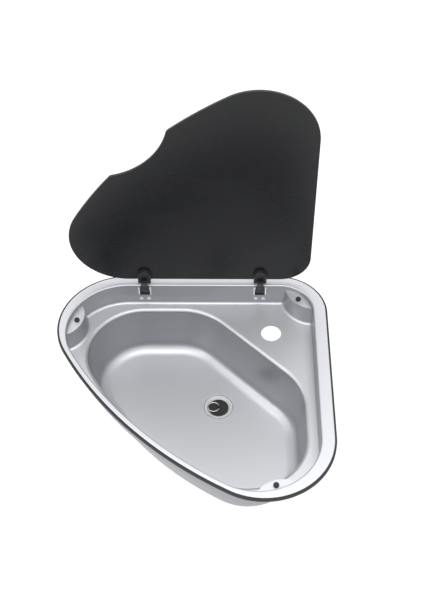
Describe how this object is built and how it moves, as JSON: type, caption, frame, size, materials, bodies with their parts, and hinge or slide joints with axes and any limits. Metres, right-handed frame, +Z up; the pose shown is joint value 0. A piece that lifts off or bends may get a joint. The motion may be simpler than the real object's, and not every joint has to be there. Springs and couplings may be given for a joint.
{
  "type": "rv sink with glass lid",
  "caption": "Pressed stainless corner sink for a caravan, with a flush dark glass lid on concealed hinges, a rubber rim seal, a tap hole and a strainer waste with a plug.",
  "frame": {"origin": "220 mm in front of the rim's back side and left of its right side, on the worktop's top face", "axes": "+Z up out of the worktop, +Y to the back side that carries the hinges, +X right; the square corner of the plan points to +X +Y"},
  "size_m": [0.4365, 0.4365, 0.6023],
  "materials": {
    "pressed_steel": "bright satin polish",
    "bracket_steel": "plain sheet",
    "bright_steel": "bright",
    "insert_brass": "turned",
    "seal_rubber": "smooth extruded",
    "black_rubber": "smooth moulded",
    "black_plastic": "fine grain",
    "lid_glass": "polished, dark tinted, ground edge"
  },
  "bodies": {
    "sink": {"sink_bowl": "pressed_steel", "rim_seal": "seal_rubber", "bumper_left": "black_rubber", "bumper_back": "black_rubber", "bumper_front": "black_rubber", "hinge_bracket_left": "bracket_steel", "hinge_bracket_right": "bracket_steel", "hinge_liner_left": "black_plastic", "hinge_liner_right": "black_plastic", "hinge_pin_left": "bright_steel", "hinge_pin_right": "bright_steel", "pin_washers_left": "black_plastic", "pin_washers_right": "black_plastic", "rivets_left": "bright_steel", "rivets_right": "bright_steel", "waste_flange": "pressed_steel", "waste_seal": "black_rubber", "waste_gasket": "black_rubber", "waste_body": "black_plastic", "waste_screw": "bright_steel"},
    "lid": {"lid_glass": "lid_glass", "hinge_arm_left": "black_plastic", "hinge_arm_right": "black_plastic", "hinge_pad_left": "black_rubber", "hinge_pad_right": "black_rubber", "cap_pad_left": "black_rubber", "cap_pad_right": "black_rubber", "glass_bush_left": "black_plastic", "glass_bush_right": "black_plastic", "hinge_cap_left": "black_plastic", "hinge_cap_right": "black_plastic", "cap_insert_left": "insert_brass", "cap_insert_right": "insert_brass", "clamp_screw_left": "bright_steel", "clamp_screw_right": "bright_steel"},
    "plug": {"plug": "black_rubber"},
    "ring": {"plug_ring": "bright_steel"}
  },
  "joints": [
    {"name": "lid_hinge", "type": "hinge", "parent": "sink", "child": "lid", "pos_m": [0.01575, 0.205, 0.001], "axis": [1, 0, 0], "range_deg": [-8, 90]},
    {"name": "plug_lift", "type": "slide", "parent": "sink", "child": "plug", "axis": [0, 0, 1], "range_m": [0, 0.06]},
    {"name": "ring_pivot", "type": "hinge", "parent": "plug", "child": "ring", "pos_m": [0.0443, 0.0433, -0.123], "axis": [0, 1, 0], "range_deg": [0, 165]}
  ]
}
